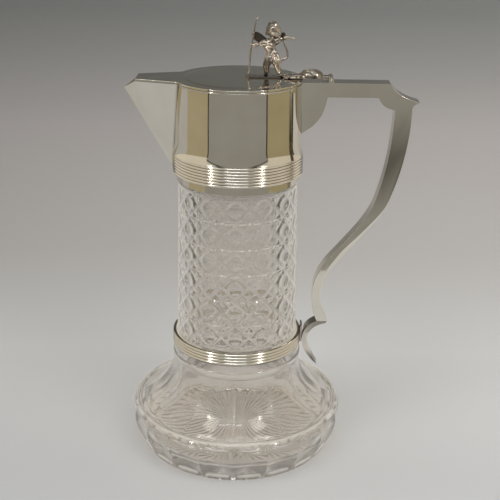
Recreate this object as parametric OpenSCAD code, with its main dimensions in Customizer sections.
// Claret jug: a cut glass body with a silver collar, spout, handle and hinged lid.
// Millimetres. The origin is the centre of the glass foot's underside, +Z is up,
// +X points to the handle and -X to the spout.

/* [Glass body] */
// Radius of the ring that the jug stands on
foot_r = 62; // [58:0.5:66]
// Radius of the base where it is widest
base_r = 70; // [67:0.5:76]
// Height of the widest place above the table
base_r_z = 21.5; // [19:0.5:24]
// Height of the edge between the side band and the shoulder
shoulder_z = 29.2; // [28:0.2:33]
// Radius of that edge
shoulder_r = 66; // [63:0.5:69]
// Radius of the glass ring under the lower silver band
ring_r = 42.2; // [41.4:0.1:44]
// Height of the lower edge of that ring
ring_z = 60; // [56:0.5:62]
// Neck radius above the lower band
neck_low_r = 39.5; // [38.6:0.1:40.2]
// Neck radius just under the silver collar
neck_high_r = 37.6; // [37.2:0.1:38.4]
// Wall of the neck, measured from the uncut surface
neck_wall = 4.6; // [3.6:0.1:6]
// Thickness of the floor
floor_t = 9; // [7:0.5:12]
// Depth of the mitre cuts round the neck
mitre_depth = 0.9; // [0.4:0.1:1.4]
// Height of one row of the neck's cutting
cut_row_h = 16.4; // [12:0.2:22]
// Number of thumb cuts round the base
thumb_cuts = 20; // [16:4:28]
// Depth of each thumb cut
thumb_depth = 1.2; // [0.6:0.1:1.8]
// Number of rays in the star under the foot
star_rays = 42; // [24:2:56]
// Radius of the star
star_r = 44; // [36:1:50]
// Depth of the star's rays at their outer end
star_depth = 1.6; // [0.8:0.1:2.4]

/* [Silver collar] */
// Height of the lower reeded band's lower edge
lower_band_z = 70.8; // [68:0.2:76]
// Height of the lower reeded band
lower_band_h = 8; // [6:0.5:10]
// Outside radius of the lower reeded band
lower_band_r = 42.3; // [41.8:0.1:43]
// Reeds on the lower band
lower_reeds = 4; // [3:1:6]
// Height of the collar's lower edge
sleeve_z = 182.3; // [170:0.5:195]
// Plain skirt that shows below the upper reeded band
skirt_h = 5; // [3:0.5:8]
// Height of the upper reeded band
upper_band_h = 12.7; // [9:0.1:16]
// Outside radius of the upper reeded band
upper_band_r = 40.7; // [40.3:0.1:41.5]
// Reeds on the upper band
upper_reeds = 7; // [4:1:9]
// Height of the plain collar wall above the band
wall_h = 44; // [36:1:52]
// Outside radius of the collar wall at its foot
wall_low_r = 39.9; // [39.5:0.1:40.2]
// Outside radius of the collar wall at its rim
wall_high_r = 38.7; // [38.2:0.1:39.2]
// Thickness of the silver sheet
sheet_t = 0.9; // [0.6:0.1:1.2]
// Height of the half-round wire under the rim
rim_wire_h = 1.1; // [0.8:0.1:1.6]
// Thickness of the cement between glass and silver
cement_t = 0.7; // [0.4:0.1:1]

/* [Spout] */
// Distance of the spout's tip from the jug's axis
spout_reach = 69.5; // [62:0.5:76]
// Drop of the tip below the collar's rim
spout_tip_drop = 5.5; // [3:0.5:9]
// Length of the open mouth in front of the lid
mouth_len = 7.5; // [5:0.5:10]
// Half width of the spout at the mouth
mouth_half_w = 8.5; // [6:0.5:11]
// Half width of the spout where it leaves the collar
root_half_w = 16.2; // [13:0.2:18]

/* [Handle] */
// Distance of the upright's outer face from the jug's axis
handle_reach = 105.6; // [98:0.2:115]
// Depth of the level top arm
arm_depth = 8.7; // [7:0.1:10.5]
// Width of the handle at the collar
handle_top_w = 12; // [9:0.5:15]
// Width of the handle at its lower tip
handle_low_w = 8.6; // [7:0.2:9]
// Thickness of the pad between handle and lower band
pad_t = 0.9; // [0.6:0.1:1.4]
// Height of the pad
pad_h = 11; // [8:0.5:13]

/* [Lid] */
// Lid overhang beyond the collar's rim
lid_overhang = 0.4; // [0.2:0.1:0.8]
// Thickness of the lid plate
lid_t = 1.2; // [0.9:0.1:1.6]
// Clearance between the closed lid and what it rests over
lid_gap = 0.2; // [0.15:0.05:0.35]
// Height of the raised panel in the lid's middle
panel_step = 0.5; // [0.3:0.1:0.8]
// Width of the flat border round the raised panel
border_w = 5.6; // [4:0.2:8]
// Depth of the locating ring under the lid
bezel_h = 3.6; // [2:0.2:5]
// Play between the locating ring and the collar
bezel_play = 0.45; // [0.4:0.05:0.7]

/* [Hinge] */
// Distance of the hinge pin behind the collar's rim
hinge_back = 17.3; // [15:0.1:20]
// Radius of the hinge pin
pin_r = 0.7; // [0.5:0.05:0.9]
// Radius of the hinge knuckles
knuckle_r = 1.7; // [1.5:0.05:2]
// Width of the lid's own knuckle
strap_knuckle_w = 5; // [4:0.2:6]
// Running clearance of the pin in the lid's knuckle
pin_play = 0.05; // [0.02:0.01:0.1]
// Height of the shell ornament above the strap
shell_h = 4.6; // [4:0.2:6]

/* [Finial] */
// Height of the cast figure without its plinth
figure_h = 33; // [28:0.5:38]
// Distance of the figure from the lid's middle, towards the hinge
figure_x = 19; // [12:0.5:20]
// Thickness of the figure's plinth
plinth_t = 0.8; // [0.6:0.1:1.4]
// Length of the plinth
plinth_l = 23; // [21:0.5:26]
// Width of the plinth
plinth_w = 7; // [6:0.5:9]
// Radius of the stud that holds the figure
stud_r = 1.2; // [0.9:0.1:1.6]

/* [Hidden] */
$fn = 96;

curve_steps = 10;
overcut = 2;
small_fn = 32;

// Levels that follow from the sizes above
lower_band_top = lower_band_z + lower_band_h;
lower_band_mid = lower_band_z + lower_band_h / 2;
upper_band_z = sleeve_z + skirt_h;
wall_z = upper_band_z + upper_band_h;
rim_z = wall_z + wall_h;
neck_top_z = wall_z + 3;
glass_step = 0.7;
neck_seat_r = neck_high_r - glass_step;
neck_seat_z = sleeve_z - 1.3;
sleeve_in_r = neck_seat_r + cement_t;
sleeve_out_r = sleeve_in_r + sheet_t;
lower_in_r = neck_low_r + cement_t;
lid_r = wall_high_r + lid_overhang;
lid_z = rim_z + lid_gap;
lid_top_z = lid_z + lid_t;
panel_top_z = lid_top_z + panel_step;
pad_r = lower_band_r + pad_t;
hinge_x = wall_high_r + hinge_back;
hinge_z = rim_z + knuckle_r + 0.2;
plinth_top_z = panel_top_z + plinth_t;
plinth_back = 3.5;

silver = "silver";
crystal = [0.86, 0.9, 0.9, 0.45];
plaster = "linen";

// Point at t on the cubic curve through a and d with handles b and c
function bezier_point(a, b, c, d, t) =
    pow(1 - t, 3) * a + 3 * t * pow(1 - t, 2) * b + 3 * t * t * (1 - t) * c + pow(t, 3) * d;
function bezier(a, b, c, d, n = curve_steps) = [for (i = [0:n]) bezier_point(a, b, c, d, i / n)];
// Bows a line outward from a to b by rise, as a shallow arc of n steps
function reed(r0, r1, z0, h, n = 6) = [for (i = [0:n]) [r0 + (r1 - r0) * sin(180 * i / n), z0 + h * i / n]];

module along_x_z(width) {
    rotate([90, 0, 0]) linear_extrude(height = width, center = true) children();
}

// Everything inside the silver's outer surface, for trimming what is soldered on
module collar_core(grow = 0) {
    rotate_extrude() polygon([
        [0, sleeve_z - overcut], [sleeve_out_r + grow, sleeve_z - overcut], [sleeve_out_r + grow, upper_band_z],
        [upper_band_r + grow, upper_band_z], [upper_band_r + grow, wall_z], [wall_low_r + grow, wall_z],
        [wall_high_r + grow, rim_z], [wall_high_r + grow, rim_z + overcut], [0, rim_z + overcut]]);
}

// Glass
shoulder_pull = 17;
neck_in_high = neck_high_r - neck_wall;
neck_in_low = neck_low_r - neck_wall;
glass_outline = concat(
    [[0, 0], [foot_r, 0], [foot_r + 1, 1.2]],
    bezier([foot_r + 3, 5], [base_r - 2.6, 9], [base_r, base_r_z - 6], [base_r, base_r_z], 6),
    bezier([base_r, base_r_z], [base_r, base_r_z + 4], [shoulder_r + 1.8, shoulder_z - 1], [shoulder_r, shoulder_z], 5),
    bezier([shoulder_r, shoulder_z], [shoulder_r - 15, shoulder_z + 7.8],
        [ring_r - 0.4, ring_z - shoulder_pull + 4], [ring_r - 0.8, ring_z], 12),
    [[ring_r, ring_z + 0.6], [ring_r, ring_z + 5], [ring_r - 0.7, ring_z + 5.8], [ring_r - 0.7, lower_band_z - 0.3],
        [neck_low_r, lower_band_z - 0.3], [neck_low_r, lower_band_top + 0.6]]);
neck_foot_z = lower_band_top + 0.6;
neck_span = neck_seat_z - neck_foot_z;
cut_rows = round(neck_span / cut_row_h);
row_h = neck_span / cut_rows;
function neck_r(z) = neck_low_r + (neck_high_r - neck_low_r) * (z - neck_foot_z) / neck_span;
neck_outline = [for (i = [1:cut_rows - 1]) for (k = [-1:1])
    let (z = neck_foot_z + i * row_h + k * mitre_depth) [neck_r(z) - (k == 0 ? mitre_depth : 0), z]];
lip_outline = [[neck_high_r, neck_seat_z], [neck_seat_r, neck_seat_z], [neck_seat_r, neck_top_z - 1],
    [neck_seat_r - 1, neck_top_z], [neck_in_high + 1, neck_top_z], [neck_in_high, neck_top_z - 1]];
cavity_outline = concat(
    [[neck_in_low, lower_band_z - 3]],
    bezier([neck_in_low, lower_band_z - 3], [neck_in_low, ring_z - 14], [shoulder_r - 22, shoulder_z + 3.5],
        [shoulder_r - 8, shoulder_z - 4.4], 10),
    bezier([shoulder_r - 8, shoulder_z - 4.4], [base_r - 7, shoulder_z - 7.5], [base_r - 5.5, floor_t + 5],
        [base_r - 12, floor_t + 1.5], 8),
    [[base_r - 18, floor_t], [0, floor_t - 0.5]]);

module star_ray() {
    inner = 7;
    half_in = inner * sin(180 / star_rays) * 0.9;
    half_out = star_r * sin(180 / star_rays) * 0.9;
    polyhedron(
        points = [[inner, -half_in, -1], [inner, half_in, -1], [inner, 0, star_depth * inner / star_r],
            [star_r, -half_out, -1], [star_r, half_out, -1], [star_r, 0, star_depth]],
        faces = [[0, 1, 2], [3, 5, 4], [0, 2, 5, 3], [1, 4, 5, 2], [0, 3, 4, 1]]);
}

module thumb_cutters() {
    cut_r = 16;
    for (i = [0:thumb_cuts - 1])
        rotate([0, 0, (i + 0.5) * 360 / thumb_cuts])
            translate([base_r + cut_r - thumb_depth, 0, base_r_z - 16])
                cylinder(r = cut_r, h = 21, $fn = small_fn);
}

module glass_body() {
    color(crystal) difference() {
        rotate_extrude() polygon(concat(glass_outline, neck_outline, lip_outline, cavity_outline));
        thumb_cutters();
        for (i = [0:star_rays - 1]) rotate([0, 0, (i + 0.5) * 360 / star_rays]) star_ray();
    }
}

// Silver bands, collar and their cement
module ring(r_in, r_out, z, h) {
    translate([0, 0, z]) rotate_extrude() translate([r_in, 0]) square([r_out - r_in, h]);
}

module reeded_ring(r_in, r_low, r_high, z, h, reeds) {
    reed_h = h / reeds;
    rotate_extrude() polygon(concat(
        [[r_in, z]],
        [for (i = [0:reeds - 1]) each reed(r_low, r_high, z + i * reed_h, reed_h)],
        [[r_in, z + h]]));
}

module neck_cement() {
    color(plaster) ring(neck_seat_r, sleeve_in_r, sleeve_z + 0.4, wall_z - sleeve_z + 0.6);
}

module lower_band_cement() {
    color(plaster) ring(neck_low_r, lower_in_r, lower_band_z, lower_band_h - 0.4);
}

module lower_band() {
    color(silver) reeded_ring(lower_in_r, lower_band_r - 0.7, lower_band_r, lower_band_z, lower_band_h, lower_reeds);
}

module collar_sleeve() {
    color(silver) ring(sleeve_in_r, sleeve_out_r, sleeve_z, wall_z - sleeve_z);
}

module collar_band() {
    color(silver) reeded_ring(sleeve_out_r, upper_band_r - 0.8, upper_band_r, upper_band_z, upper_band_h, upper_reeds);
}

module collar_wall() {
    color(silver) difference() {
        rotate_extrude() polygon([[wall_low_r - sheet_t, wall_z], [wall_low_r, wall_z], [wall_high_r, rim_z],
            [wall_high_r - sheet_t, rim_z]]);
        spout_channel();
    }
}

module collar_rim_wire() {
    wire_t = 0.5;
    wire_low_r = wall_high_r + (wall_low_r - wall_high_r) * rim_wire_h / wall_h;
    color(silver) difference() {
        rotate_extrude() polygon(concat([[wall_high_r, rim_z], [wire_low_r, rim_z - rim_wire_h]],
            [for (i = [1:5]) [wall_high_r + wire_t * sin(180 * i / 6), rim_z - rim_wire_h * (1 - i / 6)]]));
        spout_outer();
        along_x_z(handle_top_w) polygon(arm_outline);
    }
}

// Spout: two flat cheeks that meet in a keel
spout_tip = [-spout_reach, 0, rim_z - spout_tip_drop];
keel_foot_z = upper_band_z + 0.6;
keel_foot = [-upper_band_r, 0, keel_foot_z];
root_x = -sqrt(pow(wall_high_r, 2) - pow(root_half_w, 2));
mouth_x = -spout_reach + mouth_len;
// The keel's point at a given x, on the straight line through its two ends
function keel(x) = let (t = (x - spout_tip[0]) / (keel_foot[0] - spout_tip[0]))
    [x, 0, spout_tip[2] + (keel_foot[2] - spout_tip[2]) * t];
// The cheek's top edge at a given x
function cheek_half_w(x) = mouth_half_w + (root_half_w - mouth_half_w) * (x - mouth_x) / (root_x - mouth_x);

// Solid between the triangle at the collar and the slanted mouth
module wedge(back_top, back_keel, mouth_corner, tip) {
    hull() polyhedron(
        points = [back_top, [back_top[0], -back_top[1], back_top[2]], back_keel,
            mouth_corner, [mouth_corner[0], -mouth_corner[1], mouth_corner[2]], tip],
        faces = [[0, 1, 2], [0, 3, 4], [0, 4, 1], [3, 5, 4], [0, 2, 5], [0, 5, 3], [1, 4, 5], [1, 5, 2]]);
}

module spout_outer() {
    back_x = root_x + 6;
    wedge([back_x, cheek_half_w(back_x), rim_z], keel(back_x), [mouth_x, mouth_half_w, rim_z], spout_tip);
}

// Space inside the spout, cut clear through its mouth and top
module spout_channel() {
    back_x = root_x + 8;
    top_lift = 1.5;
    wedge([back_x, cheek_half_w(back_x) - 0.6 * sheet_t, rim_z + top_lift], keel(back_x) + [0, 0, 3.2 * sheet_t],
        [mouth_x, mouth_half_w - 0.6 * sheet_t, rim_z + top_lift], spout_tip + [0, 0, 1.8 * sheet_t]);
}

module spout() {
    color(silver) difference() {
        spout_outer();
        spout_channel();
        collar_core();
        translate([-2 * spout_reach, -spout_reach, keel_foot_z - 60]) cube([2 * spout_reach, 2 * spout_reach, 60]);
    }
}

// Handle: a flat strip whose outline lies in the X-Z plane
top_corner = [handle_reach - 13.9, rim_z];
spur_tip = [handle_reach + 4.4, rim_z - 11.4];
spur_root = [handle_reach, rim_z - 15.4];
bend_out = [handle_reach - 12.6, rim_z - 79.4];
bend_in = [handle_reach - 19.6, rim_z - 76];
notch_top = [handle_reach - 10.4, rim_z - 16.3];
notch_low = [handle_reach - 10.3, rim_z - 17.9];
under_end = [handle_reach - 20.6, rim_z - arm_depth];
gusset_top = [hinge_x - 2, rim_z - arm_depth];
gusset_foot = [wall_high_r, rim_z - 31.5];
joint_z = lower_band_mid + 11;
sweep_out = [pad_r + 19.8, lower_band_mid + 50];
sweep_in = [pad_r + 16.8, lower_band_mid + 56.7];
waist_out = [pad_r + 11.4, lower_band_mid + 22.2];
waist_in = [pad_r + 5.7, lower_band_mid + 27];
joint_out = [pad_r + 16.2, joint_z];
joint_in = [pad_r + 9.4, joint_z];
arm_outline = concat(
    [[wall_high_r - 3, rim_z]],
    bezier(top_corner, top_corner + [3.3, -5.7], spur_tip + [-9, 2.5], spur_tip),
    bezier(spur_tip, spur_tip + [-2.5, -1], spur_root + [0.2, 1.5], spur_root, 5),
    bezier(spur_root, spur_root + [0.4, -18.6], bend_out + [9, 21.4], bend_out, 14),
    bezier(bend_out, bend_out + [-3, -7.1], sweep_out + [8, 9.5], sweep_out, 8),
    bezier(sweep_out, sweep_out + [-7, -9], waist_out + [-2, 7.8], waist_out),
    [joint_out, joint_in],
    bezier(joint_in, joint_in + [-2.6, 5], waist_in + [0, -5], waist_in, 6),
    bezier(waist_in, waist_in + [-0.7, 11], sweep_in + [-8, -9.2], sweep_in),
    bezier(sweep_in, sweep_in + [14, 16.3], bend_in + [-3.5, -10], bend_in, 8),
    bezier(bend_in, bend_in + [7.4, 22], notch_low + [-0.3, -16.1], notch_low, 14),
    [notch_top],
    bezier(notch_top, notch_top + [-4.2, 0.6], under_end + [1.5, -4.7], under_end, 8),
    bezier(gusset_top, gusset_top + [-1, -10.2], gusset_foot + [10, 5.5], gusset_foot, 10),
    [[wall_high_r - 3, rim_z - 33.4]]);

tip_low = [pad_r + 10.3, lower_band_mid - 21];
scroll_outline = concat(
    [joint_out, joint_in],
    bezier(joint_in, joint_in + [-6.5, -2.6], [pad_r - 0.6, lower_band_mid + 4], [pad_r - 0.6, lower_band_mid - 3]),
    bezier([pad_r - 0.6, lower_band_mid - 3], [pad_r - 0.6, lower_band_mid - 9], tip_low + [-6.5, 6], tip_low),
    bezier(tip_low, tip_low + [-2.5, 4], [pad_r + 3.2, lower_band_mid - 9], [pad_r + 3, lower_band_mid - 2.5]),
    bezier([pad_r + 3, lower_band_mid - 2.5], [pad_r + 3, lower_band_mid + 3.5], joint_out + [-8, -2.6],
        joint_out + [-0.8, -1.6]));

// The strip narrows in Y from the top to its lower tip
module handle_width_limits() {
    low_z = tip_low[1] - 1;
    top_z = rim_z + 1;
    rotate([90, 0, 90]) linear_extrude(height = 2 * spur_tip[0], center = true) polygon([
        [-handle_low_w / 2, low_z], [handle_low_w / 2, low_z], [handle_top_w / 2, top_z], [-handle_top_w / 2, top_z]]);
}

module handle_arm() {
    color(silver) difference() {
        intersection() {
            along_x_z(2 * handle_top_w) polygon(arm_outline);
            handle_width_limits();
        }
        collar_core();
    }
}

module handle_scroll() {
    color(silver) difference() {
        intersection() {
            along_x_z(2 * handle_top_w) polygon(scroll_outline);
            handle_width_limits();
        }
        translate([0, 0, lower_band_mid - pad_h]) cylinder(r = pad_r, h = 2 * pad_h);
    }
}

module handle_pad() {
    color(silver) intersection() {
        ring(lower_band_r, pad_r, lower_band_z + 0.2, pad_h);
        translate([0, -handle_low_w / 2 - 0.6, lower_band_z]) cube([pad_r + 1, handle_low_w + 1.2, pad_h + 1]);
    }
}

// Hinge
knuckle_gap = 0.15;
outer_knuckle_w = (handle_top_w - strap_knuckle_w) / 2 - knuckle_gap - 0.4;
module on_hinge(w, y) {
    translate([hinge_x, y + w / 2, hinge_z]) rotate([90, 0, 0]) linear_extrude(height = w) children();
}

module hinge_knuckles() {
    color(silver) for (side = [-1, 1]) {
        y0 = side > 0 ? strap_knuckle_w / 2 + knuckle_gap : -strap_knuckle_w / 2 - knuckle_gap - outer_knuckle_w;
        on_hinge(outer_knuckle_w, y0 + outer_knuckle_w / 2) difference() {
            union() {
                circle(r = knuckle_r, $fn = small_fn);
                translate([-knuckle_r, rim_z - hinge_z]) square([2 * knuckle_r, hinge_z - rim_z]);
            }
            circle(r = pin_r, $fn = small_fn);
        }
    }
}

module hinge_pin() {
    color(silver) on_hinge(strap_knuckle_w + 2 * (outer_knuckle_w + knuckle_gap) + 0.8, 0)
        circle(r = pin_r, $fn = small_fn);
}

// Lid
plate_in_x = root_x + 4;
cover_w_in = cheek_half_w(plate_in_x);
module lid_plate() {
    color(silver) difference() {
        union() {
            translate([0, 0, lid_z]) cylinder(r = lid_r, h = lid_t);
            translate([0, 0, lid_z]) linear_extrude(height = lid_t) polygon([[plate_in_x, cover_w_in],
                [plate_in_x, -cover_w_in], [mouth_x, -mouth_half_w], [mouth_x, mouth_half_w]]);
            rotate_extrude() polygon([[0, lid_z], [lid_r - border_w, lid_z], [lid_r - border_w, lid_top_z],
                [lid_r - border_w - panel_step, panel_top_z], [0, panel_top_z]]);
        }
        translate([figure_x, 0, lid_z - 1]) cylinder(r = stud_r, h = 5, $fn = small_fn);
    }
}

module lid_bezel() {
    bezel_r = wall_high_r - sheet_t - bezel_play;
    gap_half = root_half_w + 1;
    color(silver) difference() {
        ring(bezel_r - sheet_t, bezel_r, lid_z - bezel_h, bezel_h);
        translate([-bezel_r - 1, -gap_half, lid_z - bezel_h - 1]) cube([bezel_r, 2 * gap_half, bezel_h + 2]);
    }
}

strap_w = strap_knuckle_w;
strap_t = 1.4;
strap_z = panel_top_z;
strap_in_x = figure_x - plinth_back + plinth_l / 2 + 0.3;
strap_knuckle_r = knuckle_r - 0.3;
// Cast strap from the lid's panel to its knuckle
module hinge_strap() {
    color(silver) difference() {
        along_x_z(strap_w) polygon(concat([[strap_in_x, strap_z], [strap_in_x, strap_z + strap_t]],
            bezier([strap_in_x + 6, strap_z + strap_t + 0.4], [hinge_x - 16, strap_z + strap_t + 1],
                [hinge_x - 7, strap_z + strap_t], [hinge_x - 1.6, hinge_z + strap_knuckle_r], 6),
            [for (a = [90:-15:-150]) [hinge_x, hinge_z] + strap_knuckle_r * [cos(a), sin(a)]],
            [[hinge_x - knuckle_r - 0.9, strap_z - 0.4], [lid_r - border_w - 0.4, strap_z]]));
        translate([hinge_x, strap_w, hinge_z]) rotate([90, 0, 0])
            cylinder(r = pin_r + pin_play, h = 2 * strap_w, $fn = small_fn);
    }
}

// Leaf scrolls on either side of the strap's root, as [distance along the strap, radius, height]
scrolls = [[1.6, 1.7, 2], [5.2, 2.2, 2.6], [8, 1.4, 2.2]];
module strap_scrolls() {
    color(silver) difference() {
        for (side = [-1, 1]) for (leaf = scrolls)
            translate([strap_in_x + leaf[0], side * (strap_w / 2 + 0.5 * leaf[1]), strap_z])
                cylinder(r = leaf[1], h = leaf[2], $fn = small_fn);
        translate([strap_in_x - 1, -strap_w / 2, strap_z - 1]) cube([16, strap_w, 5]);
    }
}

// Ribbed shell that arches over the strap
module strap_shell() {
    shell_l = 16;
    shell_w = 12;
    shell_z = strap_z + strap_t + 1.1;
    color(silver) difference() {
        intersection() {
            translate([hinge_x - 12, 0, shell_z - 1]) scale([shell_l / 2, shell_w / 2, shell_h - 0.5]) sphere(r = 1, $fn = 40);
            translate([hinge_x - 12 - shell_l / 2, -shell_w, strap_z + 0.5]) cube([shell_l, 2 * shell_w, 10]);
        }
        translate([0, -strap_w / 2, 0]) cube([hinge_x, strap_w, shell_z]);
    }
}

// Finial: a cast winged boy with a bow, on a slim plinth
k = figure_h / 33;
module on_plinth() {
    translate([figure_x, 0, plinth_top_z]) scale(k) children();
}

module limb(a, b, ra, rb) {
    hull() {
        translate(a) sphere(r = ra, $fn = 14);
        translate(b) sphere(r = rb, $fn = 14);
    }
}

module figure_plinth() {
    color(silver) difference() {
        translate([figure_x - plinth_back, 0, panel_top_z]) union() {
            for (side = [-1, 1]) translate([side * (plinth_l - plinth_w) / 2, 0, 0])
                cylinder(r = plinth_w / 2, h = plinth_t, $fn = small_fn);
            translate([-(plinth_l - plinth_w) / 2, -plinth_w / 2, 0]) cube([plinth_l - plinth_w, plinth_w, plinth_t]);
        }
        translate([figure_x, 0, panel_top_z - 1]) cylinder(r = stud_r, h = plinth_t + 2, $fn = small_fn);
    }
}

// Joints of the figure, in millimetres from the plinth's top at the stud
hip = [0.5, 0, 12.2];
chest = [-0.6, 0, 19.2];
neck = [0.6, 0, 22.6];
head = [1.8, -0.3, 27.4];
bow_shoulder = [-2.8, -0.8, 20.4];
bow_elbow = [-7, -1.4, 19];
bow_hand = [-10.7, -1.2, 18.6];
far_shoulder = [3.4, 0.6, 20.8];
far_elbow = [7.4, 0.8, 22.4];
far_hand = [13, -0.4, 22.8];
front_knee = [3.6, -1.6, 6.4];
front_ankle = [5.2, -1, 1.6];
back_knee = [-3, 1.2, 7.4];
back_ankle = [-1.6, 1.4, 1.4];

module figure_body() {
    color(silver) difference() {
        on_plinth() union() {
            limb(hip, chest, 2.9, 3.3);
            limb(chest, neck, 2.2, 1.4);
            translate(head) sphere(r = 4.1, $fn = 20);
            translate(head + [-1.6, 0, 1.6]) sphere(r = 3.7, $fn = 16);
            limb(bow_shoulder, bow_elbow, 1.7, 1.4);
            limb(bow_elbow, bow_hand, 1.4, 1.1);
            limb(far_shoulder, far_elbow, 1.7, 1.4);
            limb(far_elbow, far_hand, 1.4, 1);
            limb(hip + [1.2, -0.8, 0], front_knee, 2.5, 1.7);
            limb(front_knee, front_ankle, 1.7, 1.1);
            limb(front_ankle + [0, 0, -0.8], front_ankle + [1.9, -0.2, -0.9], 1, 0.8);
            limb(hip + [-1.2, 0.8, 0], back_knee, 2.4, 1.6);
            limb(back_knee, back_ankle, 1.6, 1.1);
            limb(back_ankle + [0, 0, -0.6], back_ankle + [-2.6, 0.2, -0.7], 1, 0.8);
        }
        translate([0, 0, panel_top_z - 5]) cube([200, 200, 2 * (plinth_t + 5)], center = true);
    }
}

// Small wings behind the shoulders, towards the back of the figure
module wing(span, rise, lean) {
    rotate([lean, 0, 0]) rotate([90, 0, 0]) linear_extrude(height = 0.9, center = true)
        polygon(concat([[0, 0]], bezier([0, 1.5], [-span * 0.3, rise], [-span * 0.8, rise * 1.1], [-span, rise], 6),
            bezier([-span, rise], [-span * 0.9, rise * 0.2], [-span * 0.5, -2.4], [0, -2.2], 6)));
}

module figure_wings() {
    color(silver) on_plinth() difference() {
        union() {
            translate(chest + [-1, 3.4, 0.6]) wing(9.4, 5.2, -18);
            translate(chest + [1.5, 3.6, 0.6]) mirror([1, 0, 0]) wing(7, 4.6, -18);
        }
        limb(hip, chest, 2.9, 3.3);
        limb(chest, neck, 2.2, 1.4);
        translate(head) sphere(r = 4.1, $fn = 20);
        limb(far_shoulder, far_elbow, 1.7, 1.4);
    }
}

// A strip of even width along a list of points
function side_of(pts, i, half) =
    let (a = pts[max(i - 1, 0)], b = pts[min(i + 1, len(pts) - 1)], d = (b - a) / norm(b - a))
    pts[i] + half * [-d[1], d[0]];
function strip(pts, half) = concat([for (i = [0:len(pts) - 1]) side_of(pts, i, half)],
    [for (i = [len(pts) - 1:-1:0]) side_of(pts, i, -half)]);

bow_line = concat(bezier([-13.2, 0], [-12.1, 8], [-12.4, 15], [-11.1, 20.5], 6),
    [for (p = bezier([-11.1, 20.5], [-9.7, 27], [-9.6, 31.5], [-7.2, 35.2], 6)) if (p[0] > -11) p]);
module figure_bow() {
    color(silver) on_plinth() difference() {
        translate([0, -1.3, 0]) along_x_z(1.4) polygon(strip(bow_line, 0.65));
        limb(bow_elbow, bow_hand, 1.4, 1.1);
    }
}

// Ribbon of cloth that falls from the raised arm to the hip
ribbon_line = concat(bezier([7.6, 20.8], [8.4, 17], [9.8, 14.4], [9, 12.4], 5),
    [for (p = bezier([9, 12.4], [8.2, 10.6], [5.6, 10.4], [2.6, 11], 5)) if (p[0] < 8.95) p]);
module figure_drapery() {
    color(silver) on_plinth() difference() {
        translate([0, -1, 0]) along_x_z(2) polygon(strip(ribbon_line, 0.7));
        limb(far_elbow, far_hand, 1.4, 1);
        limb(far_shoulder, far_elbow, 1.7, 1.4);
        limb(hip, chest, 2.9, 3.3);
        limb(hip + [1.2, -0.8, 0], front_knee, 2.5, 1.7);
    }
}

nut_h = 1.8;
module figure_stud() {
    color(silver) translate([figure_x, 0, lid_z - nut_h - 0.6])
        cylinder(r = stud_r, h = plinth_top_z - lid_z + nut_h + 0.6, $fn = small_fn);
}

module figure_nut() {
    color(silver) translate([figure_x, 0, lid_z - nut_h]) difference() {
        cylinder(r = stud_r + 1.6, h = nut_h, $fn = 6);
        translate([0, 0, -1]) cylinder(r = stud_r, h = nut_h + 2, $fn = small_fn);
    }
}

glass_body();
neck_cement();
lower_band_cement();
lower_band();
collar_sleeve();
collar_band();
collar_wall();
collar_rim_wire();
spout();
handle_arm();
handle_scroll();
handle_pad();
hinge_knuckles();
hinge_pin();
lid_plate();
lid_bezel();
hinge_strap();
strap_scrolls();
strap_shell();
figure_plinth();
figure_body();
figure_wings();
figure_bow();
figure_drapery();
figure_stud();
figure_nut();
